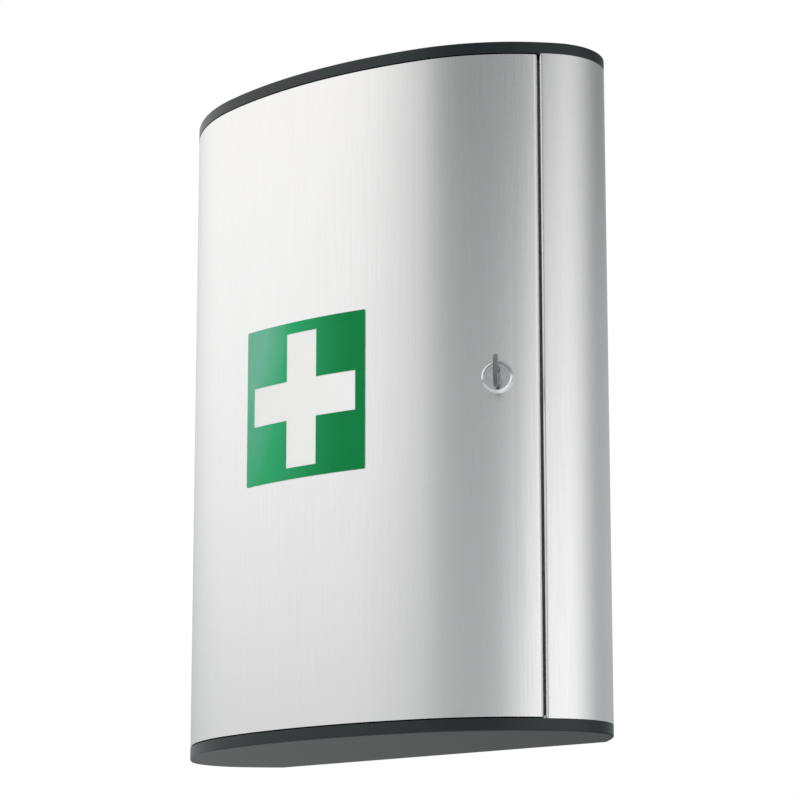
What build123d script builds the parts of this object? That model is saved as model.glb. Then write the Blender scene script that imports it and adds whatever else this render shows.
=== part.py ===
from build123d import *
from math import acos, cos, degrees, radians, sin, sqrt
import os

# Wall-mounted first aid cabinet. X points to the right of a person facing it,
# +Y points into the wall and +Z up. The wall plane is Y = 0, and the origin is
# the centre of the four wall screws, at mid-height. All sizes are millimetres.

# Overall size
width = 302.0
height = 400.0
depth = 118.0

# Plan outline: an oval cut by the wall, in tangent arcs. A plan angle is the
# direction that the surface faces, 0 straight ahead and positive to the right.
# The wall cuts the oval off behind its widest place.
oval_half_depth = 76.5
end_radius = 36.0
front_turn = 15.0
shoulder_turn = 51.5

# Sheet metal
skin_thickness = 1.2
back_thickness = 1.5
back_edge_gap = 1.0
edge_bend_radius = 1.6
rear_flange_width = 16.0

# Plastic end caps
cap_rim_height = 7.0
cap_rim_wall = 3.0
cap_plate_thickness = 3.0
cap_edge_round = 0.8
spigot_height = 8.0
spigot_wall = 2.0
spigot_clearance = 0.15
spigot_from_seam = 8.0
spigot_end_angle = 122.0
sill_inset = 16.0
sill_wall = 2.5
sill_height = 8.0
sill_half_angle = 33.0

# Door
seam_angle = 46.3
seam_gap = 1.0
door_end_gap = 0.8
nose_radius = 3.0
door_flange_length = 5.0
hinge_tube_radius = 4.5
hinge_curl_turn = 280.0
hinge_groove = 2.3
left_flange_length = 7.0
rail_height = 8.0
rail_depth = 7.5
rail_end_gap = 3.0

# Hinge pins and bushes
pin_radius = 1.5
pin_running_clearance = 0.05
pin_seat_depth = 5.5
pin_reach = 8.5
pin_boss_radius = 4.4
bush_length = 8.0
bush_flange_radius = 4.3
bush_flange_gap = 0.1

# Cam lock, set square to the door surface
lock_backset = 25.5
lock_height = 0.0
bezel_radius = 9.25
bezel_height = 2.6
bezel_round = 1.9
bezel_seat_depth = 0.35
bezel_seat_clearance = 0.3
barrel_radius = 8.0
barrel_hole_clearance = 0.1
barrel_reach = 15.4
plug_radius = 5.95
plug_running_clearance = 0.05
plug_face_recess = 0.3
lock_nut_across_flats = 20.0
lock_nut_thickness = 3.0
lock_plate_thickness = 1.5
lock_plate_half_width = 13.5
lock_plate_half_height = 28.0
nut_seat_radius = 12.2
cam_gap = 0.2
cam_thickness = 2.0
cam_width = 10.0
cam_length = 31.0
spigot_square = 6.0
spigot_shortfall = 0.2
cam_washer_radius = 5.5
cam_washer_thickness = 0.8
cam_screw_radius = 2.0
cam_screw_length = 6.0
cam_screw_head_radius = 3.6
cam_screw_head_height = 2.2
driver_slot_width = 0.9
driver_slot_depth = 1.0

# Key
keyway_width = 2.0
keyway_height = 7.6
keyway_floor = 0.95
key_clearance = 0.15
key_shank_length = 7.5
key_head_radius = 9.2
key_head_thickness = 2.4
key_head_hole_radius = 2.6
key_head_hole_offset = 3.4
key_head_edge_round = 0.5
key_cut_depth = 1.1
key_cut_shares = (0.6, 1.0, 0.4, 0.8)

# Strike on the right side
strike_lip_depth = 13.0
strike_lip_width = 7.0
strike_plate_thickness = 1.0
strike_plate_height = 44.0
strike_rivet_offset = 16.0
strike_rivet_radius = 1.2
strike_rivet_head_radius = 2.2
strike_rivet_head_height = 0.7
seal_width = 5.8
seal_side_gap = 0.2
seal_end_gap = 2.0
seal_closing_gap = 0.3

# Safety sign on the door
sign_offset = -6.8
sign_width = 94.0
sign_height = 94.0
sign_corner_radius = 0.8
sign_adhesive_gap = 0.10
sign_base_thickness = 0.14
sign_print_thickness = 0.15
cross_width = 80.5
cross_height = 80.5
cross_arm = 23.4

# Shelves
shelf_thickness = 1.0
shelf_pitch = 131.0
shelf_side_inset = 2.6
shelf_front_inset = 19.0
shelf_jamb_clearance = 8.0
shelf_lip_height = 12.0
shelf_lip_half_angle = 31.0
shelf_back_gap = 0.3
bracket_spacing = 150.0
bracket_width = 20.0
bracket_thickness = 1.5
bracket_reach = 60.0
bracket_leg = 26.0

# Fixings
wall_hole_spacing_x = 200.0
wall_hole_spacing_z = 300.0
wall_hole_radius = 3.0
rivet_radius = 1.6
rivet_head_radius = 3.0
rivet_head_height = 0.9
side_rivet_inset = 8.0
side_rivet_pitch = 165.0
bracket_rivet_drop = 14.0
tab_spacing = 150.0
tab_width = 18.0
tab_length = 16.0
tab_seat_gap = 1.0
tab_screw_from_wall = 10.0
tab_boss_radius = 5.0
cap_screw_radius = 1.3
cap_screw_floor = 1.8
cap_screw_head_radius = 2.9
cap_screw_head_height = 1.8

end_centre_from_wall = depth - oval_half_depth
spigot_start_angle = seam_angle + spigot_from_seam
half_height = height / 2
rim_level = half_height - cap_rim_height
plate_level = half_height - cap_plate_thickness
door_end = rim_level - door_end_gap


# Plan outline

def heading(angle):
    """Unit vector that a surface facing a plan angle points along."""
    return Vector(sin(radians(angle)), -cos(radians(angle)))


def along(angle):
    """Unit tangent of the outline at a plan angle, to the right at the front."""
    return Vector(cos(radians(angle)), sin(radians(angle)))


def oval_radii():
    """Front and shoulder radii that close the quarter oval on its end arc."""
    sin_front = sin(radians(front_turn))
    cos_front = cos(radians(front_turn))
    sin_shoulder = sin(radians(shoulder_turn))
    cos_shoulder = cos(radians(shoulder_turn))
    span = width / 2 - end_radius * (1 - sin_shoulder)
    rise = depth - end_centre_from_wall - end_radius * cos_shoulder
    cross = sin_front * (cos_front - cos_shoulder) - (sin_shoulder - sin_front) * (1 - cos_front)
    front = (span * (cos_front - cos_shoulder) - rise * (sin_shoulder - sin_front)) / cross
    shoulder = (sin_front * rise - (1 - cos_front) * span) / cross
    return front, shoulder


front_radius, shoulder_radius = oval_radii()
turns = (front_turn, shoulder_turn, 180 - shoulder_turn, 180 - front_turn)
front_centre = Vector(0, front_radius - depth)


def arc_at(angle):
    """Centre and radius of the outline's arc that faces a plan angle."""
    side = 1 if angle >= 0 else -1
    turn = min(abs(angle), 180 - abs(angle))
    if turn > shoulder_turn:
        return Vector(side * (width / 2 - end_radius), -end_centre_from_wall), end_radius
    centre, radius = front_centre, front_radius
    if turn > front_turn:
        centre += heading(side * front_turn) * (front_radius - shoulder_radius)
        radius = shoulder_radius
    if abs(angle) > 90:
        centre = Vector(centre.X, -2 * end_centre_from_wall - centre.Y)
    return centre, radius


def outline_point(angle, inset):
    centre, radius = arc_at(angle)
    return centre + heading(angle) * (radius - inset)


def arc(centre, radius, start, stop):
    """Arc about a centre between two plan angles."""
    middle = (start + stop) / 2
    return ThreePointArc(*[centre + heading(angle) * radius for angle in (start, middle, stop)])


def outline_run(start, stop, inset):
    """Edges along the outline, moved inwards by the inset."""
    low, high = min(start, stop), max(start, stop)
    breaks = [side * turn for turn in turns for side in (-1, 1) if low < side * turn < high]
    stops = sorted([start, stop, *breaks], reverse=stop < start)
    edges = []
    for first, last in zip(stops, stops[1:]):
        centre, radius = arc_at((first + last) / 2)
        edges.append(arc(centre, radius - inset, first, last))
    return edges


def wall_angle(level, inset):
    """Plan angle at which the outline, moved inwards, comes back to Y = level."""
    start = 90
    for stop in (180 - shoulder_turn, 180 - front_turn, 180):
        centre, radius = arc_at((start + stop) / 2)
        if centre.Y - (radius - inset) * cos(radians(stop)) > level:
            break
        start = stop
    return degrees(acos((centre.Y - level) / (radius - inset)))


def polyline(*points):
    return [Line(first, last) for first, last in zip(points, points[1:])]


def oval_face(inset, level):
    """The outline's face, moved inwards and cut off at Y = level."""
    limit = wall_angle(level, inset)
    edges = outline_run(-limit, limit, inset)
    edges += polyline(outline_point(limit, inset), outline_point(-limit, inset))
    return make_face(edges)


def band(start, stop, outer, inner):
    """Strip between two insets of the outline, from one plan angle to another."""
    edges = outline_run(start, stop, outer)
    edges += polyline(outline_point(stop, outer), outline_point(stop, inner))
    edges += outline_run(stop, start, inner)
    edges += polyline(outline_point(start, inner), outline_point(start, outer))
    return make_face(edges)


def prism(face, low, high):
    return Pos(0, 0, low) * extrude(face, high - low, dir=(0, 0, 1))


def block(x, y, z):
    """Box from three pairs of limits."""
    size = [high - low for low, high in (x, y, z)]
    middle = [(high + low) / 2 for low, high in (x, y, z)]
    return Pos(*middle) * Box(*size)


def post(x, y, radius, low, high):
    """Upright cylinder."""
    return Pos(x, y, (low + high) / 2) * Cylinder(radius, high - low)


def wall_post(x, z, radius, front, back):
    """Cylinder square to the wall, between two Y levels."""
    return Pos(x, (front + back) / 2, z) * Rot(90, 0, 0) * Cylinder(radius, back - front)


def angle_after(angle, distance):
    """Plan angle reached by going a distance round the outline from another one."""
    side = 1 if distance > 0 else -1
    place, rest = side * angle, abs(distance)
    for stop in sorted(sign * turn for turn in (*turns, 180) for sign in (-1, 1)):
        if stop <= place:
            continue
        radius = arc_at(side * (place + stop) / 2)[1]
        if radius * radians(stop - place) > rest:
            break
        rest -= radius * radians(stop - place)
        place = stop
    return side * (place + degrees(rest / radius))


# Places that several pieces share

hinge_angle = angle_after(-seam_angle, hinge_tube_radius)
hinge_axis = outline_point(hinge_angle, hinge_tube_radius)
left_bend_angle = angle_after(hinge_angle, -hinge_tube_radius - hinge_groove - edge_bend_radius)
nose_angle = angle_after(seam_angle, -seam_gap / 2 - nose_radius)
right_bend_angle = angle_after(seam_angle, seam_gap / 2 + edge_bend_radius)
lock_angle = angle_after(seam_angle, -lock_backset)
lock_point = outline_point(lock_angle, 0)
lock_plane = Plane(
    origin=(lock_point.X, lock_point.Y, lock_height),
    x_dir=along(lock_angle),
    z_dir=heading(lock_angle),
)
barrel_bore_radius = plug_radius + plug_running_clearance
cam_front = -(barrel_reach + cam_gap)
cam_back = cam_front - cam_thickness
plug_face = bezel_height - bezel_seat_depth - plug_face_recess
keyway_depth = plug_face - cam_back - cam_screw_length - keyway_floor
shelf_levels = (-shelf_pitch / 2, shelf_pitch / 2)
bracket_places = [(side * bracket_spacing / 2, level) for level in shelf_levels for side in (-1, 1)]


def at_lock(shape):
    """Place a shape made about the lock's axis, +Z pointing out of the door."""
    return lock_plane.location * shape


def disc(radius, low, high):
    return Pos(0, 0, (low + high) / 2) * Cylinder(radius, high - low)


# Body

def side_shell_edges(side, bend_angle):
    """Outer run, rear flange and inner run that both side shells share."""
    outer_limit = wall_angle(-back_thickness, 0)
    inner_level = -back_thickness - skin_thickness
    inner_limit = wall_angle(inner_level, skin_thickness)
    outer_corner = outline_point(side * outer_limit, 0)
    flange_x = outer_corner.X - side * rear_flange_width
    edges = outline_run(bend_angle, side * outer_limit, 0)
    edges += polyline(
        outer_corner,
        Vector(flange_x, -back_thickness),
        Vector(flange_x, inner_level),
        outline_point(side * inner_limit, skin_thickness),
    )
    edges += outline_run(side * inner_limit, bend_angle, skin_thickness)
    return edges


def drill_side_rivets(shell, side):
    for z in (-side_rivet_pitch, 0, side_rivet_pitch):
        shell -= wall_post(side_rivet_x(side), z, rivet_radius, -depth / 2, 0)
    return shell


def side_rivet_x(side):
    corner = outline_point(side * wall_angle(-back_thickness, 0), 0)
    return corner.X - side * (rear_flange_width - side_rivet_inset)


def left_side_shell():
    bend = outline_point(left_bend_angle, edge_bend_radius)
    inner_bend = edge_bend_radius - skin_thickness
    right = along(left_bend_angle)
    inwards = heading(left_bend_angle) * -left_flange_length
    edges = side_shell_edges(-1, left_bend_angle)
    edges.append(arc(bend, inner_bend, left_bend_angle, left_bend_angle + 90))
    edges += polyline(
        bend + right * inner_bend,
        bend + right * inner_bend + inwards,
        bend + right * edge_bend_radius + inwards,
        bend + right * edge_bend_radius,
    )
    edges.append(arc(bend, edge_bend_radius, left_bend_angle + 90, left_bend_angle))
    shell = prism(make_face(edges), -rim_level, rim_level)
    return drill_side_rivets(shell, -1)


def strike_corner():
    """Where the strike lip's outer face meets the jamb, in plan."""
    bend = outline_point(right_bend_angle, edge_bend_radius)
    start = bend - along(lock_angle) * edge_bend_radius
    reach = (start - lock_point).dot(heading(lock_angle)) + strike_lip_depth
    return start - heading(lock_angle) * reach


def right_side_shell():
    bend = outline_point(right_bend_angle, edge_bend_radius)
    inner_bend = edge_bend_radius - skin_thickness
    right = along(lock_angle)
    inwards = heading(lock_angle) * -skin_thickness
    corner = strike_corner()
    edges = side_shell_edges(1, right_bend_angle)
    edges.append(arc(bend, inner_bend, right_bend_angle, lock_angle - 90))
    edges += polyline(
        bend - right * inner_bend,
        corner + right * skin_thickness + inwards,
        corner - right * strike_lip_width + inwards,
        corner - right * strike_lip_width,
        corner,
        bend - right * edge_bend_radius,
    )
    edges.append(arc(bend, edge_bend_radius, lock_angle - 90, right_bend_angle))
    shell = prism(make_face(edges), -rim_level, rim_level)
    shell = drill_side_rivets(shell, 1)
    for z in strike_rivet_levels():
        shell -= strike_rivet(z)
    return shell


def back_panel():
    half_width = outline_point(wall_angle(0, 0), 0).X - back_edge_gap
    panel = block((-half_width, half_width), (-back_thickness, 0), (-rim_level, rim_level))
    for side in (-1, 1):
        for end in (-1, 1):
            panel += tab(side * tab_spacing / 2, end)
            x = side * wall_hole_spacing_x / 2
            z = end * wall_hole_spacing_z / 2
            panel -= wall_post(x, z, wall_hole_radius, -depth / 2, depth / 2)
        for z in (-side_rivet_pitch, 0, side_rivet_pitch):
            panel -= wall_post(side_rivet_x(side), z, rivet_radius, -depth / 2, depth / 2)
    for x, level in bracket_places:
        panel -= wall_post(x, level - bracket_rivet_drop, rivet_radius, -depth / 2, depth / 2)
    return panel


def tab_levels():
    """Underside and top of a lower tab."""
    seat = -rim_level + tab_seat_gap
    return seat, seat + back_thickness


def tab(x, end):
    """Folded tab that a cap is screwed to: end is 1 at the top, -1 at the bottom."""
    seat, top = tab_levels()
    sides = (x - tab_width / 2, x + tab_width / 2)
    plate = block(sides, (-tab_length, 0), (seat, top))
    plate -= post(x, -tab_screw_from_wall, cap_screw_radius, -half_height, 0)
    return plate if end < 0 else mirror(plate, Plane.XY)


def bottom_cap():
    cap = prism(oval_face(0, 0), -half_height, -rim_level)
    cap = fillet(cap.edges().group_by(Axis.Z)[0], cap_edge_round)
    cap -= prism(oval_face(cap_rim_wall, -cap_rim_wall), -plate_level, -rim_level)
    inset = skin_thickness + spigot_clearance
    for side in (-1, 1):
        wall = band(side * spigot_start_angle, side * spigot_end_angle, inset, inset + spigot_wall)
        cap += prism(wall, -plate_level, -rim_level + spigot_height)
    sill = band(-sill_half_angle, sill_half_angle, sill_inset, sill_inset + sill_wall)
    cap += prism(sill, -plate_level, -plate_level + sill_height)
    cap += post(hinge_axis.X, hinge_axis.Y, pin_boss_radius, -plate_level, -rim_level)
    cap -= post(hinge_axis.X, hinge_axis.Y, pin_radius, -rim_level - pin_seat_depth, -rim_level)
    seat = tab_levels()[0]
    for side in (-1, 1):
        x = side * tab_spacing / 2
        cap += post(x, -tab_screw_from_wall, tab_boss_radius, -plate_level, seat)
        cap -= post(x, -tab_screw_from_wall, cap_screw_radius, -half_height + cap_screw_floor, seat)
    return cap


def top_cap():
    return mirror(bottom_cap(), Plane.XY)


def cap_screws():
    """Four screws that pull the caps onto the back panel's tabs."""
    top = tab_levels()[1]
    screws = []
    for side in (-1, 1):
        x = side * tab_spacing / 2
        y = -tab_screw_from_wall
        screw = post(x, y, cap_screw_radius, -half_height + cap_screw_floor, top)
        screw += post(x, y, cap_screw_head_radius, top, top + cap_screw_head_height)
        for turn in (0, 90):
            bar = Box(2 * cap_screw_radius, driver_slot_width, 2 * driver_slot_depth)
            screw -= Pos(x, y, top + cap_screw_head_height) * Rot(0, 0, turn) * bar
        screws += [screw, mirror(screw, Plane.XY)]
    return screws


def rivet(x, z, stack):
    """Flush at the wall, with its head on the inside of the stack of sheets."""
    shank = wall_post(x, z, rivet_radius, -stack, 0)
    return shank + wall_post(x, z, rivet_head_radius, -stack - rivet_head_height, -stack)


def side_rivets():
    stack = back_thickness + skin_thickness
    levels = (-side_rivet_pitch, 0, side_rivet_pitch)
    return [rivet(side_rivet_x(side), z, stack) for side in (-1, 1) for z in levels]


def bracket_rivets():
    stack = back_thickness + bracket_thickness
    return [rivet(x, level - bracket_rivet_drop, stack) for x, level in bracket_places]


def shelf_brackets():
    """Angles on the back panel, two under each shelf."""
    brackets = []
    for x, level in bracket_places:
        sides = (x - bracket_width / 2, x + bracket_width / 2)
        face = -back_thickness - bracket_thickness
        arm = block(sides, (-bracket_reach, -back_thickness), (level - bracket_thickness, level))
        leg = block(sides, (face, -back_thickness), (level - bracket_leg, level))
        bracket = arm + leg
        bracket -= wall_post(x, level - bracket_rivet_drop, rivet_radius, -depth / 2, 0)
        brackets.append(bracket)
    return brackets


def shelf(level):
    """Folded shelf, stepped in at the front corners to pass the door jambs."""
    back = -back_thickness - skin_thickness - shelf_back_gap
    jamb_back = strike_corner() - heading(lock_angle) * (skin_thickness + strike_plate_thickness)
    step_from_wall = -jamb_back.Y - shelf_jamb_clearance
    wide = oval_face(shelf_side_inset, back)
    wide &= Pos(0, -step_from_wall / 2) * Rectangle(2 * width, step_from_wall)
    narrow = oval_face(shelf_front_inset, back)
    plate = prism(wide + narrow, level, level + shelf_thickness)
    inner = shelf_front_inset + shelf_thickness
    lip = band(-shelf_lip_half_angle, shelf_lip_half_angle, shelf_front_inset, inner)
    return plate + prism(lip, level, level + shelf_thickness + shelf_lip_height)


# Strike and seal

def strike_frame():
    """Middle of the strike lip's inner face, +Z pointing out of the door."""
    middle = strike_corner() - along(lock_angle) * (strike_lip_width / 2)
    middle -= heading(lock_angle) * skin_thickness
    return Plane(origin=(middle.X, middle.Y, lock_height), x_dir=along(lock_angle),
                 z_dir=heading(lock_angle))


def strike_rivet_levels():
    return (lock_height - strike_rivet_offset, lock_height + strike_rivet_offset)


def strike_rivet(z):
    """Countersunk rivet through the strike plate and the lip, flush on both sides."""
    head_middle = -strike_plate_thickness + strike_rivet_head_height / 2
    head = Cone(strike_rivet_head_radius, strike_rivet_radius, strike_rivet_head_height)
    rivet_body = disc(strike_rivet_radius, -strike_plate_thickness, skin_thickness)
    rivet_body += Pos(0, 0, head_middle) * head
    return strike_frame().location * Pos(0, z - lock_height, 0) * rivet_body


def strike_plate():
    plate = Pos(0, 0, -strike_plate_thickness / 2) * Box(
        strike_lip_width, strike_plate_height, strike_plate_thickness)
    plate = strike_frame().location * plate
    for z in strike_rivet_levels():
        plate -= strike_rivet(z)
    return plate


def strike_rivets():
    return [strike_rivet(z) for z in strike_rivet_levels()]


def door_flange_depth():
    """Depth of the door's return flange behind the lock point, square to the lock."""
    nose = outline_point(nose_angle, nose_radius)
    tip = nose + along(nose_angle) * nose_radius - heading(nose_angle) * door_flange_length
    return (lock_point - tip).dot(heading(lock_angle))


def door_seal():
    """Foam strip along the strike lip that the door's flange closes towards."""
    rise = strike_lip_depth - door_flange_depth() - seal_closing_gap
    right = strike_lip_width / 2 - seal_side_gap
    half_length = door_end - seal_end_gap
    strip = block(
        (right - seal_width, right),
        (-half_length - lock_height, half_length - lock_height),
        (skin_thickness, skin_thickness + rise),
    )
    return strike_frame().location * strip


# Hinge

def hinge_pin(end):
    pin = post(hinge_axis.X, hinge_axis.Y, pin_radius, -rim_level - pin_seat_depth, -rim_level + pin_reach)
    return pin if end < 0 else mirror(pin, Plane.XY)


def hinge_bush(end):
    """Flanged bush in the end of the door's hinge tube."""
    x, y = hinge_axis.X, hinge_axis.Y
    bush = post(x, y, hinge_tube_radius - skin_thickness, -door_end, -door_end + bush_length)
    bush += post(x, y, bush_flange_radius, -rim_level + bush_flange_gap, -door_end)
    bush -= post(x, y, pin_radius + pin_running_clearance, -half_height, 0)
    return bush if end < 0 else mirror(bush, Plane.XY)


# Door

def door_skin():
    """One sheet: hinge curl, curved front, rounded nose and return flange."""
    curl_end = hinge_angle - hinge_curl_turn
    curl_inner = hinge_tube_radius - skin_thickness
    nose = outline_point(nose_angle, nose_radius)
    nose_inner = nose_radius - skin_thickness
    right = along(nose_angle)
    inwards = heading(nose_angle) * -door_flange_length
    edges = outline_run(hinge_angle, nose_angle, 0)
    edges.append(arc(nose, nose_radius, nose_angle, nose_angle + 90))
    edges += polyline(
        nose + right * nose_radius,
        nose + right * nose_radius + inwards,
        nose + right * nose_inner + inwards,
        nose + right * nose_inner,
    )
    edges.append(arc(nose, nose_inner, nose_angle + 90, nose_angle))
    edges += outline_run(nose_angle, hinge_angle, skin_thickness)
    edges.append(arc(hinge_axis, curl_inner, hinge_angle, curl_end))
    edges += polyline(
        hinge_axis + heading(curl_end) * curl_inner,
        hinge_axis + heading(curl_end) * hinge_tube_radius,
    )
    edges.append(arc(hinge_axis, hinge_tube_radius, curl_end, hinge_angle))
    skin = prism(make_face(edges), -door_end, door_end)
    seat_radius = bezel_radius + bezel_seat_clearance
    skin -= at_lock(disc(seat_radius, -bezel_seat_depth, nose_radius))
    skin -= at_lock(disc(barrel_radius + barrel_hole_clearance, -nose_radius, nose_radius))
    return skin


def door_rail(end):
    """Curved plastic rail inside the end of the door."""
    start = angle_after(hinge_angle, hinge_tube_radius + rail_end_gap)
    stop = angle_after(nose_angle, -rail_end_gap)
    rail = prism(band(start, stop, skin_thickness, skin_thickness + rail_depth),
                 -door_end, -door_end + rail_height)
    return rail if end < 0 else mirror(rail, Plane.XY)


def lock_plate():
    """Doubler behind the door skin, with a flat seat for the lock nut."""
    left = angle_after(lock_angle, -lock_plate_half_width)
    right = angle_after(lock_angle, lock_plate_half_width)
    inner = skin_thickness + lock_plate_thickness
    plate = prism(band(left, right, skin_thickness, inner),
                  lock_height - lock_plate_half_height, lock_height + lock_plate_half_height)
    plate -= at_lock(disc(nut_seat_radius, -barrel_reach, -inner))
    plate -= at_lock(disc(barrel_radius + barrel_hole_clearance, -barrel_reach, nose_radius))
    return plate


def lock_housing():
    front = bezel_height - bezel_seat_depth
    bezel = disc(bezel_radius, -bezel_seat_depth, front)
    bezel = fillet(bezel.edges().group_by(Axis.Z)[-1], bezel_round)
    housing = bezel + disc(barrel_radius, -barrel_reach, -bezel_seat_depth)
    housing -= disc(barrel_bore_radius, -barrel_reach, front)
    return at_lock(housing)


def lock_nut():
    near = skin_thickness + lock_plate_thickness
    hexagon = RegularPolygon(lock_nut_across_flats / 2, 6, major_radius=False)
    nut = Pos(0, 0, -near - lock_nut_thickness) * extrude(hexagon, lock_nut_thickness)
    nut -= disc(barrel_radius, -barrel_reach, 0)
    return at_lock(nut)


def sign_sheet(sheet_width, sheet_height, inner, outer):
    """Curved sheet about the sign's middle, between two heights off the door."""
    low = angle_after(0, sign_offset - sheet_width / 2)
    high = angle_after(0, sign_offset + sheet_width / 2)
    face = band(low, high, -outer, -inner)
    return prism(face, lock_height - sheet_height / 2, lock_height + sheet_height / 2)


def round_sign_corners(sheet, thickness):
    corners = sheet.edges().filter_by(lambda edge: edge.length < 2 * thickness)
    return fillet(corners, sign_corner_radius)


def sign_base():
    """White label under the green print."""
    outer = sign_adhesive_gap + sign_base_thickness
    sheet = sign_sheet(sign_width, sign_height, sign_adhesive_gap, outer)
    return round_sign_corners(sheet, sign_base_thickness)


def sign_print():
    """Green print, open where the white cross shows."""
    inner = sign_adhesive_gap + sign_base_thickness
    outer = inner + sign_print_thickness
    sheet = round_sign_corners(sign_sheet(sign_width, sign_height, inner, outer), sign_print_thickness)
    sheet -= sign_sheet(cross_width, cross_arm, 0, 2 * outer)
    sheet -= sign_sheet(cross_arm, cross_height, 0, 2 * outer)
    return sheet


# Lock plug and key

def lock_plug():
    plug = disc(plug_radius, cam_front, plug_face)
    spigot_length = cam_thickness - spigot_shortfall
    plug += Pos(0, 0, cam_front - spigot_length / 2) * Box(spigot_square, spigot_square, spigot_length)
    plug -= disc(cam_screw_radius, cam_back, cam_back + cam_screw_length)
    slot = Box(keyway_width, keyway_height, keyway_depth)
    plug -= Pos(0, 0, plug_face - keyway_depth / 2) * slot
    return at_lock(plug)


def lock_cam():
    """Flat cam that points up when unlocked, and turns behind the strike."""
    bar = disc(cam_width / 2, cam_back, cam_front)
    tip = cam_length - cam_width / 2
    middle = (cam_front + cam_back) / 2
    bar += Pos(0, tip / 2, middle) * Box(cam_width, tip, cam_thickness)
    bar += Pos(0, tip, 0) * disc(cam_width / 2, cam_back, cam_front)
    bar -= Pos(0, 0, middle) * Box(spigot_square, spigot_square, cam_thickness)
    return at_lock(bar)


def cam_washer():
    washer = disc(cam_washer_radius, cam_back - cam_washer_thickness, cam_back)
    return at_lock(washer - disc(cam_screw_radius, cam_back - cam_washer_thickness, cam_back))


def cam_screw():
    under_head = cam_back - cam_washer_thickness
    head_end = under_head - cam_screw_head_height
    screw = disc(cam_screw_radius, under_head, cam_back + cam_screw_length)
    screw += disc(cam_screw_head_radius, head_end, under_head)
    for turn in (0, 90):
        bar = Box(2 * cam_screw_radius, driver_slot_width, 2 * driver_slot_depth)
        screw -= Pos(0, 0, head_end) * Rot(0, 0, turn) * bar
    return at_lock(screw)


def key_blade():
    """Steel blade in the keyway, running out into the head."""
    thickness = keyway_width - 2 * key_clearance
    tall = keyway_height - 2 * key_clearance
    tip = plug_face - keyway_depth + key_clearance
    end = plug_face + key_shank_length
    blade = Pos(0, 0, (tip + end) / 2) * Box(thickness, tall, end - tip)
    cut_pitch = (keyway_depth - key_clearance) / (len(key_cut_shares) + 1)
    for index, share in enumerate(key_cut_shares):
        cut = Box(2 * thickness, 2 * key_cut_depth * share, cut_pitch)
        blade -= Pos(0, tall / 2, tip + cut_pitch * (index + 0.5)) * cut
    return at_lock(blade)


def key_head():
    """Round plastic head, in the plane of the blade."""
    centre = plug_face + key_shank_length + sqrt(key_head_radius ** 2 - (keyway_height / 2) ** 2)
    head = Rot(0, 90, 0) * Cylinder(key_head_radius, key_head_thickness)
    head = fillet(head.edges().filter_by(GeomType.CIRCLE), key_head_edge_round)
    head -= Pos(0, 0, key_head_hole_offset) * Rot(0, 90, 0) * Cylinder(
        key_head_hole_radius, key_head_thickness)
    head = Pos(0, 0, centre) * head
    head -= Pos(0, 0, plug_face) * Box(key_head_thickness, 2 * key_head_radius, 2 * key_shank_length)
    return at_lock(head)


pieces = {
    "back_panel": back_panel(),
    "left_side_shell": left_side_shell(),
    "right_side_shell": right_side_shell(),
    "top_cap": top_cap(),
    "bottom_cap": bottom_cap(),
    "cap_screws": cap_screws(),
    "side_rivets": side_rivets(),
    "shelf_lower": shelf(shelf_levels[0]),
    "shelf_upper": shelf(shelf_levels[1]),
    "shelf_brackets": shelf_brackets(),
    "bracket_rivets": bracket_rivets(),
    "strike_plate": strike_plate(),
    "strike_rivets": strike_rivets(),
    "door_seal": door_seal(),
    "hinge_pin_lower": hinge_pin(-1),
    "hinge_pin_upper": hinge_pin(1),
    "door_skin": door_skin(),
    "door_bottom_rail": door_rail(-1),
    "door_top_rail": door_rail(1),
    "hinge_bush_lower": hinge_bush(-1),
    "hinge_bush_upper": hinge_bush(1),
    "lock_plate": lock_plate(),
    "lock_housing": lock_housing(),
    "lock_nut": lock_nut(),
    "sign_base": sign_base(),
    "sign_print": sign_print(),
    "lock_plug": lock_plug(),
    "lock_cam": lock_cam(),
    "cam_washer": cam_washer(),
    "cam_screw": cam_screw(),
    "key_blade": key_blade(),
    "key_head": key_head(),
}

os.makedirs("parts", exist_ok=True)
for name, shape in pieces.items():
    solids = shape if isinstance(shape, list) else [shape]
    export_step(Compound(children=solids), f"parts/{name}.step")

print(f"front radius {front_radius:.1f}, shoulder radius {shoulder_radius:.1f}")
print(f"hinge axis {hinge_axis.X:.3f}, {hinge_axis.Y:.3f}")
print(f"lock point {lock_point.X:.3f}, {lock_point.Y:.3f}, facing {lock_angle:.3f} degrees")
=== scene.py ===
import math

import bpy
from mathutils import Euler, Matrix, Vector


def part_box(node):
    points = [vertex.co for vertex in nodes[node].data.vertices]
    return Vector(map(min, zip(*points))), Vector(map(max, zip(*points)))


# Looks of a wall-mounted first aid cabinet: brushed aluminium sheet between
# moulded plastic end caps. Lengths are metres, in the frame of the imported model:
# X to the right, +Y into the wall, Z up, the wall plane at Y = 0.

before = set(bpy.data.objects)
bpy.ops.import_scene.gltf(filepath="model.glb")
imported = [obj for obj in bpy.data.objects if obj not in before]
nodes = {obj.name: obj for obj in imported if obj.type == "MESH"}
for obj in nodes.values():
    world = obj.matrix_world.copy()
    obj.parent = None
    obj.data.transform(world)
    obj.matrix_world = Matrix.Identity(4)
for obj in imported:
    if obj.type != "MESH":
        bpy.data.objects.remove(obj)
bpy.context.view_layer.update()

MM = 0.001
white = (1.0, 1.0, 1.0)

# Noise keeps to the middle of 0 to 1; this range holds nearly all of it
noise_low, noise_high = 0.3, 0.7
noise_roughness = 0.55

# Curved sheets shade smoothly over edges that bend less than the crease
weld_distance = 0.001 * MM
crease_angle = math.radians(28)

# Camera, from the photograph, with lens and sensor in millimetres
camera_place = (1.13232, -1.39818, -0.37248)
camera_yaw = math.radians(39.73)
camera_pitch = math.radians(12.244)
camera_lens, sensor_width = 134.81, 36.0

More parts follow.
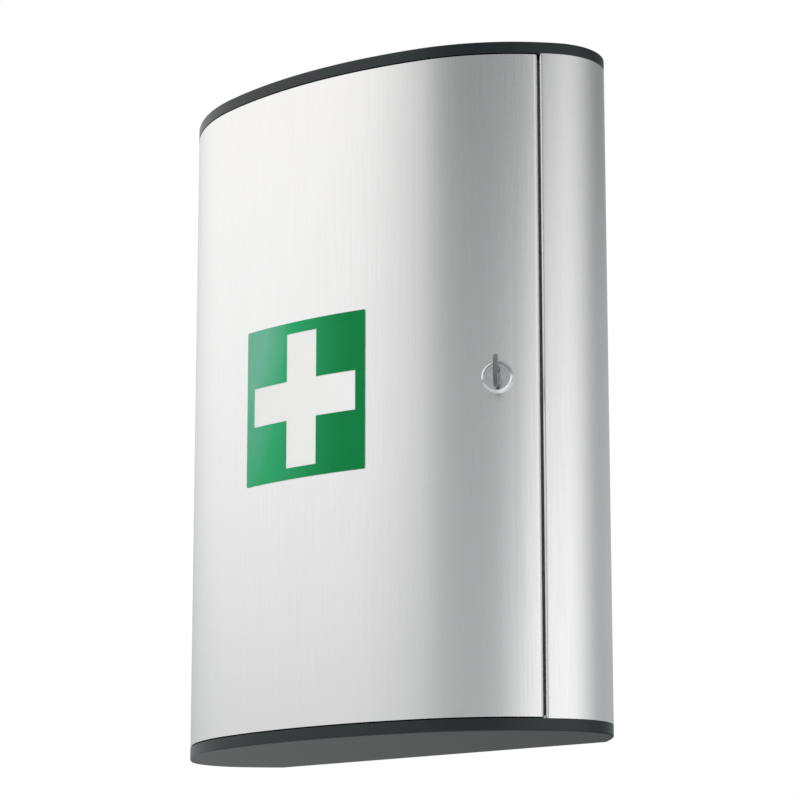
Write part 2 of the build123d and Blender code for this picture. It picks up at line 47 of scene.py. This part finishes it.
# Studio
ambient = 0.55
floor_drop = 1.1
floor_half_width = 9.0
floor_near, floor_far = 1.2, 4.0
floor_colour, floor_roughness = (0.86, 0.86, 0.85), 0.9

# What the metal mirrors, by compass angle (0 in front of the cabinet, 90 to its
# right) and by the climb of the ray, both in degrees: a dim room all round, a
# pale wall on the left, a lit panel on the right and the glow of the floor. Each
# goes from its first level to its second over its own range of climbs.
room_colour, room_range, room_levels = (0.955, 0.985, 1.0), (10.5, 20.0), (0.5, 0.215)
wall_colour, wall_range, wall_levels = (1.0, 0.982, 0.975), (-4.0, 22.0), (0.015, 0.86)
panel_colour, panel_range, panel_levels = (1.0, 0.985, 1.0), (2.0, 28.0), (0.83, 0.2)
glow_colour, glow_range, glow_levels = (0.99, 1.0, 1.0), (-14.0, -1.0), (0.5, 0.0)

# The wall runs from the front to the rear on the left, and the panel stands on
# the right. In rays that climb the wall reaches further to the rear, and the
# panel stands further to the rear. The glow leaves out the rear. Falling rays
# see only a share of the room, the wall and the panel.
wall_starts, wall_full = 10.0, -28.0
rear_starts, rear_full = -162.0, -62.0
panel_starts, panel_full = 28.0, 50.0
panel_fades, panel_ends = 66.0, 136.0
lean_range, rearward_lean = (6.0, 22.0), 27.0
glow_starts, glow_full = 150.0, 122.0
down_range, down_share = (-12.0, 8.0), 0.38


# Node helpers

def new_node(tree, kind, inputs=None, **settings):
    """Node with its settings, and its inputs fed with plain values or outputs."""
    made = tree.nodes.new(kind)
    for key, value in settings.items():
        setattr(made, key, value)
    for key, value in (inputs or {}).items():
        if isinstance(value, bpy.types.NodeSocket):
            tree.links.new(value, made.inputs[key])
        else:
            made.inputs[key].default_value = value
    return made


def math_node(tree, operation, *values):
    """Math node on outputs or plain numbers."""
    return new_node(tree, "ShaderNodeMath", dict(enumerate(values)),
                    operation=operation).outputs["Value"]


def map_node(tree, value, start, stop, low=0.0, high=1.0, blend="SMOOTHSTEP"):
    """Value's range from start to stop spread over low to high, held beyond."""
    ranges = {"Value": value, "From Min": start, "From Max": stop, "To Min": low, "To Max": high}
    return new_node(tree, "ShaderNodeMapRange", ranges, interpolation_type=blend).outputs["Result"]


def choose(tree, factor, first, second):
    """The first shader where the factor is 0, the second where it is 1."""
    return new_node(tree, "ShaderNodeMixShader",
                    {0: factor, 1: first, 2: second}).outputs["Shader"]


def new_material(name):
    """Material, its node tree and its principled shader."""
    material = bpy.data.materials.new(name)
    material.use_nodes = True
    return material, material.node_tree, material.node_tree.nodes["Principled BSDF"]


def shade(colour, factor):
    return tuple(channel * factor for channel in colour)


class Surface:
    """A material on the principled shader, with short calls for its nodes."""

    def __init__(self, name, colour, metallic=0.0):
        self.material, self.tree, self.shader = new_material(name)
        self.shader.inputs["Metallic"].default_value = metallic
        self.colour = colour
        self.place = new_node(self.tree, "ShaderNodeTexCoord").outputs["Object"]
        self.normal = None

    def drive(self, name, output):
        self.tree.links.new(output, self.shader.inputs[name])

    def texture(self, kind, scale, **inputs):
        """Texture in object space, scale in features per metre along each axis."""
        mapping = new_node(self.tree, "ShaderNodeMapping", {"Scale": scale, "Vector": self.place})
        inputs.update(Scale=1.0, Vector=mapping.outputs["Vector"])
        return new_node(self.tree, kind, inputs)

    def noise(self, per_metre, detail, stretch=(1, 1, 1)):
        """Noise with so many features per metre, times the stretch of each axis."""
        scale = [per_metre * factor for factor in stretch]
        made = self.texture("ShaderNodeTexNoise", scale, Detail=detail, Roughness=noise_roughness)
        return made.outputs["Fac"]

    def cells(self, per_metre):
        return self.texture("ShaderNodeTexVoronoi", [per_metre] * 3).outputs["Distance"]

    def along(self, axis, start, stop, low=0.0):
        """Low to 1 between two places on an object axis, held beyond them."""
        parts = new_node(self.tree, "ShaderNodeSeparateXYZ", {"Vector": self.place})
        return map_node(self.tree, parts.outputs[axis], start, stop, low)

    def spread(self, noise, low, high):
        """Noise spread evenly over low to high."""
        return map_node(self.tree, noise, noise_low, noise_high, low, high, "LINEAR")

    def colours(self, value, first, *others):
        """Colour that runs over stops, each a position and its colour."""
        ramp = new_node(self.tree, "ShaderNodeValToRGB", {"Fac": value})
        stops = ramp.color_ramp.elements
        stops.remove(stops[-1])
        stops[0].position = first[0]
        stops[0].color = (*first[1], 1.0)
        for position, colour in others:
            stops.new(position).color = (*colour, 1.0)
        return ramp.outputs["Color"]

    def tint(self, noise, low, high, start=noise_low, stop=noise_high):
        """The surface's colour times low to high, from start to stop of a noise."""
        self.drive("Base Color", self.colours(noise, (start, shade(self.colour, low)),
                                              (stop, shade(self.colour, high))))

    def roughen(self, noise, low, high):
        self.drive("Roughness", self.spread(noise, low, high))

    def bump(self, value, height):
        """Relief in metres from a value between 0 and 1; calls stack up."""
        inputs = {"Height": value, "Distance": height, "Strength": 1.0}
        if self.normal:
            inputs["Normal"] = self.normal
        self.normal = new_node(self.tree, "ShaderNodeBump", inputs).outputs["Normal"]
        self.drive("Normal", self.normal)

    def give_to(self, *names):
        for name in names:
            slots = nodes[name].data.materials
            slots.clear()
            slots.append(self.material)


# Finishes

def plain_finish(name, colour, *pieces, metallic=0.0, per_metre, detail, stretch=(1, 1, 1),
                 tint, roughness, relief):
    """Finish whose colour, roughness and relief follow one noise."""
    surface = Surface(name, colour, metallic)
    noise = surface.noise(per_metre, detail, stretch)
    surface.tint(noise, *tint)
    surface.roughen(noise, *roughness)
    surface.bump(noise, relief)
    surface.give_to(*pieces)


def powder_coat(name, colour, *pieces):
    """Painted sheet with the faint orange peel of powder coat."""
    surface = Surface(name, colour)
    peel = surface.noise(260, detail=2.0)
    speck = surface.noise(1900, detail=1.0)
    surface.tint(speck, low=0.97, high=1.02)
    surface.roughen(peel, low=0.38, high=0.47)
    surface.bump(peel, 0.03 * MM)
    surface.bump(speck, 0.006 * MM)
    surface.give_to(*pieces)


def brushed_aluminium(*pieces):
    """Anodised sheet with a fine grain that runs up and down."""
    surface = Surface("brushed_aluminium", (0.89, 0.885, 0.88), metallic=1.0)
    fine = surface.noise(2600, detail=2.0, stretch=(1, 1, 0.008))
    coarse = surface.noise(420, detail=3.0, stretch=(1, 1, 0.02))
    cloud = surface.noise(9, detail=2.0)
    grain = math_node(surface.tree, "ADD", fine, coarse)
    surface.tint(grain, low=0.955, high=1.03, start=0.35, stop=0.65)
    fine_roughness = surface.spread(fine, low=0.25, high=0.31)
    cloudiness = surface.spread(cloud, low=-0.012, high=0.012)
    surface.drive("Roughness", math_node(surface.tree, "ADD", fine_roughness, cloudiness))
    surface.bump(fine, 0.004 * MM)
    surface.bump(coarse, 0.012 * MM)
    surface.give_to(*pieces)


def anthracite_plastic(*pieces):
    """Moulded plastic with a fine spark-eroded texture."""
    surface = Surface("anthracite_plastic", (0.0055, 0.0105, 0.0115))
    grain = surface.noise(1500, detail=3.0)
    pits = surface.cells(900)
    cloud = surface.noise(14, detail=2.0)
    surface.tint(cloud, low=0.9, high=1.12)
    surface.roughen(grain, low=0.28, high=0.36)
    surface.bump(grain, 0.012 * MM)
    surface.bump(pits, 0.008 * MM)
    surface.give_to(*pieces)


def zinc_plate(*pieces):
    """Bright zinc, clouded in large patches over a finer relief."""
    surface = Surface("zinc_plate", (0.63, 0.64, 0.65), metallic=1.0)
    cloud = surface.noise(90, detail=4.0)
    fine = surface.noise(1400, detail=2.0)
    surface.tint(cloud, low=0.9, high=1.05)
    surface.roughen(cloud, low=0.24, high=0.36)
    surface.bump(fine, 0.004 * MM)
    surface.give_to(*pieces)


def bright_nickel(*pieces):
    """Die-cast lock face: bright plate over a faintly uneven casting."""
    surface = Surface("bright_nickel", (0.80, 0.80, 0.81), metallic=1.0)
    casting = surface.noise(300, detail=2.0)
    scratches = surface.noise(1800, detail=2.0, stretch=(1, 1, 0.15))
    surface.tint(casting, low=0.94, high=1.04)
    surface.roughen(scratches, low=0.10, high=0.22)
    surface.bump(casting, 0.01 * MM)
    surface.give_to(*pieces)


def white_label(*pieces):
    """Satin vinyl label, the ground of the sign."""
    surface = Surface("white_label", (0.88, 0.875, 0.87))
    cloud = surface.noise(30, detail=2.0)
    fine = surface.noise(1500, detail=2.0)
    surface.tint(cloud, low=0.985, high=1.01)
    surface.roughen(fine, low=0.34, high=0.42)
    surface.bump(fine, 0.004 * MM)
    surface.give_to(*pieces)


def green_print(*pieces):
    """Safety green ink on the label, with a painted sheen that lightens it towards the upper left.
    """
    green = (0.0005, 0.200, 0.050)
    # The two paler greens below are painted sheen on the ink, not colours of the print.
    paler = (0.022, 0.385, 0.150)
    sheen_green = (0.150, 0.475, 0.325)
    surface = Surface("green_print", green)
    surface.shader.inputs["Specular IOR Level"].default_value = 0.1
    lowest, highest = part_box("sign_print")
    across = surface.along("X", highest[0], lowest[0])
    upwards = surface.along("Z", lowest[2], highest[2], low=0.7)
    patches = surface.spread(surface.noise(26, detail=3.0), low=-0.03, high=0.05)
    # Painted sheen: the colour runs paler towards the upper left, where light glares on the sign.
    # The ink has not faded there.
    painted_sheen = math_node(surface.tree, "MULTIPLY", across, upwards)
    painted_sheen = math_node(surface.tree, "ADD", painted_sheen, patches)
    ink_and_sheen = surface.colours(painted_sheen, (0.06, green), (0.66, paler), (0.93, sheen_green))
    surface.drive("Base Color", ink_and_sheen)
    fine = surface.noise(1500, detail=2.0)
    surface.roughen(fine, low=0.27, high=0.36)
    surface.bump(fine, 0.004 * MM)
    surface.give_to(*pieces)


brushed_aluminium("door_skin", "left_side_shell", "right_side_shell")
powder_coat("grey_powder_coat", (0.66, 0.67, 0.67), "back_panel", "shelf_brackets")
powder_coat("pale_powder_coat", (0.76, 0.76, 0.75), "shelf_lower", "shelf_upper")
anthracite_plastic("top_cap", "bottom_cap", "door_bottom_rail", "door_top_rail")
zinc_plate("cap_screws", "strike_plate", "hinge_pin_lower", "hinge_pin_upper", "lock_plate",
           "lock_nut", "lock_cam", "cam_washer", "cam_screw")
plain_finish("rivet_aluminium", (0.74, 0.74, 0.74),
             "side_rivets", "bracket_rivets", "strike_rivets",
             metallic=1.0, per_metre=700, detail=3.0,
             tint=(0.9, 1.05), roughness=(0.32, 0.46), relief=0.01 * MM)
plain_finish("seal_foam", (0.30, 0.30, 0.305), "door_seal",
             per_metre=1200, detail=3.0,
             tint=(0.85, 1.15), roughness=(0.56, 0.7), relief=0.02 * MM)
plain_finish("natural_acetal", (0.76, 0.75, 0.71), "hinge_bush_lower", "hinge_bush_upper",
             per_metre=400, detail=2.0,
             tint=(0.96, 1.02), roughness=(0.28, 0.4), relief=0.008 * MM)
bright_nickel("lock_housing", "lock_plug")
plain_finish("key_steel", (0.66, 0.66, 0.66), "key_blade",
             metallic=1.0, per_metre=2200, detail=2.0, stretch=(1, 1, 0.1),
             tint=(0.92, 1.05), roughness=(0.2, 0.34), relief=0.006 * MM)
plain_finish("key_plastic", (0.125, 0.125, 0.128), "key_head",
             per_metre=1700, detail=3.0,
             tint=(0.85, 1.2), roughness=(0.34, 0.48), relief=0.016 * MM)
white_label("sign_base")
green_print("sign_print")


# Shading of the curved sheets and the caps

def smooth_sheets(*names):
    """Runs the shading smoothly over the joints between the outline's arcs."""
    tree = bpy.data.node_groups.new("smooth_sheet", "GeometryNodeTree")
    for way in ("INPUT", "OUTPUT"):
        tree.interface.new_socket("Geometry", in_out=way, socket_type="NodeSocketGeometry")
    source = new_node(tree, "NodeGroupInput")
    welded = new_node(tree, "GeometryNodeMergeByDistance",
                      {"Geometry": source.outputs["Geometry"], "Distance": weld_distance})
    bend = new_node(tree, "GeometryNodeInputMeshEdgeAngle")
    sharp = new_node(tree, "FunctionNodeCompare",
                     {"A": bend.outputs["Unsigned Angle"], "B": crease_angle})
    shaded = new_node(tree, "GeometryNodeSetMeshNormal",
                      {"Mesh": welded.outputs["Geometry"], "Remove Custom": True,
                       "Edge Sharpness": sharp.outputs["Result"]})
    new_node(tree, "NodeGroupOutput", {"Geometry": shaded.outputs["Mesh"]})
    for name in names:
        nodes[name].modifiers.new("smooth_sheet", "NODES").node_group = tree


def flat_faces_first(*names):
    """Keeps the shading of large flat faces flat up to their rounded edges."""
    for name in names:
        nodes[name].modifiers.new("weighted_normal", "WEIGHTED_NORMAL").keep_sharp = True


smooth_sheets("door_skin", "left_side_shell", "right_side_shell", "top_cap", "bottom_cap")
flat_faces_first("top_cap", "bottom_cap")


# Studio

def link_object(name, data):
    made = bpy.data.objects.new(name, data)
    bpy.context.scene.collection.objects.link(made)
    return made


def background_rays(tree):
    """1 for rays that show the background: camera, glossy and transmission rays."""
    paths = new_node(tree, "ShaderNodeLightPath")
    total = paths.outputs["Is Camera Ray"]
    for name in ("Is Glossy Ray", "Is Transmission Ray"):
        total = math_node(tree, "MAXIMUM", total, paths.outputs[name])
    return total


def light_shader(tree, colour, strength):
    return new_node(tree, "ShaderNodeBackground",
                    {"Color": (*colour, 1.0), "Strength": strength}).outputs["Background"]


def mirrored_room(tree):
    """Room that shows in reflections: dim, with a pale wall, a lit panel and a glow."""
    ray = new_node(tree, "ShaderNodeTexCoord").outputs["Generated"]
    parts = new_node(tree, "ShaderNodeSeparateXYZ", {"Vector": ray})
    ahead = math_node(tree, "MULTIPLY", parts.outputs["Y"], -1.0)
    azimuth = math_node(tree, "DEGREES", math_node(tree, "ARCTAN2", parts.outputs["X"], ahead))
    climb = math_node(tree, "DEGREES", math_node(tree, "ARCSINE", parts.outputs["Z"]))

    low = map_node(tree, climb, *down_range, down_share)
    lean = map_node(tree, climb, *lean_range, 0.0, rearward_lean)
    leaning = math_node(tree, "ADD", azimuth, lean)
    wall = math_node(tree, "MULTIPLY", map_node(tree, azimuth, wall_starts, wall_full),
                     map_node(tree, leaning, rear_starts, rear_full))
    wall = math_node(tree, "MULTIPLY", wall, low)
    leaning = math_node(tree, "SUBTRACT", azimuth, lean)
    panel = math_node(tree, "MULTIPLY", map_node(tree, leaning, panel_starts, panel_full),
                      map_node(tree, leaning, panel_ends, panel_fades))
    panel = math_node(tree, "MULTIPLY", panel, low)
    glow = map_node(tree, math_node(tree, "ABSOLUTE", azimuth), glow_starts, glow_full)

    total = None
    for share, colour, climbs, levels in ((low, room_colour, room_range, room_levels),
                                          (wall, wall_colour, wall_range, wall_levels),
                                          (panel, panel_colour, panel_range, panel_levels),
                                          (glow, glow_colour, glow_range, glow_levels)):
        level = math_node(tree, "MULTIPLY", map_node(tree, climb, *climbs, *levels), share)
        light = light_shader(tree, colour, level)
        if total:
            light = new_node(tree, "ShaderNodeAddShader", {0: total, 1: light}).outputs["Shader"]
        total = light
    return total


def make_world():
    """Plain even light, white to the camera, and the mirrored room in gloss."""
    world = bpy.data.worlds.new("studio")
    bpy.context.scene.world = world
    world.use_nodes = True
    tree = world.node_tree
    tree.nodes.remove(tree.nodes["Background"])
    light = choose(tree, background_rays(tree), light_shader(tree, white, ambient),
                   light_shader(tree, white, 1.0))
    glossy = new_node(tree, "ShaderNodeLightPath").outputs["Is Glossy Ray"]
    light = choose(tree, glossy, light, mirrored_room(tree))
    tree.links.new(light, tree.nodes["World Output"].inputs["Surface"])


def make_floor():
    """Pale floor that keeps the shadow, turns white far off and is open from below."""
    mesh = bpy.data.meshes.new("floor")
    corners = [(x * floor_half_width, y * floor_half_width, 0)
               for x, y in ((-1, -1), (1, -1), (1, 1), (-1, 1))]
    mesh.from_pydata(corners, [], [(0, 1, 2, 3)])
    made = link_object("floor", mesh)
    made.location = (0, 0, -floor_drop)
    made.visible_glossy = False
    material, tree, matt = new_material("pale_floor")
    matt.inputs["Base Color"].default_value = (*floor_colour, 1.0)
    matt.inputs["Roughness"].default_value = floor_roughness
    bright = new_node(tree, "ShaderNodeEmission", {"Strength": 1.0})
    place = new_node(tree, "ShaderNodeTexCoord").outputs["Object"]
    length = new_node(tree, "ShaderNodeVectorMath", {0: place}, operation="LENGTH")
    fade = map_node(tree, length.outputs["Value"], floor_near, floor_far)
    far_off = math_node(tree, "MULTIPLY", fade, background_rays(tree))
    shader = choose(tree, far_off, matt.outputs["BSDF"], bright.outputs["Emission"])
    from_below = new_node(tree, "ShaderNodeNewGeometry").outputs["Backfacing"]
    open_air = new_node(tree, "ShaderNodeBsdfTransparent").outputs["BSDF"]
    shader = choose(tree, from_below, shader, open_air)
    tree.links.new(shader, tree.nodes["Material Output"].inputs["Surface"])
    mesh.materials.append(material)


def make_lamp(name, energy, size, azimuth, elevation, distance):
    """Square lamp that faces the cabinet's middle: azimuth 0 in front, 90 to the right."""
    data = bpy.data.lights.new(name, "AREA")
    data.energy = energy
    data.shape = "SQUARE"
    data.size = size
    turn, rise = math.radians(azimuth), math.radians(elevation)
    away = Vector((math.sin(turn) * math.cos(rise), -math.cos(turn) * math.cos(rise),
                   math.sin(rise)))
    made = link_object(name, data)
    made.location = away * distance
    made.rotation_euler = away.to_track_quat("Z", "Y").to_euler()
    made.visible_glossy = False


def make_camera():
    data = bpy.data.cameras.new("camera")
    data.lens = camera_lens
    data.sensor_width = sensor_width
    made = link_object("camera", data)
    made.location = camera_place
    made.rotation_euler = Euler((math.pi / 2 + camera_pitch, 0, camera_yaw))
    bpy.context.scene.camera = made


make_world()
make_floor()
make_lamp("key_lamp", energy=26.0, size=1.1, azimuth=62.0, elevation=38.0, distance=2.1)
make_lamp("fill_lamp", energy=16.0, size=1.6, azimuth=-50.0, elevation=18.0, distance=2.4)
make_camera()
bpy.context.scene.view_settings.view_transform = "Standard"
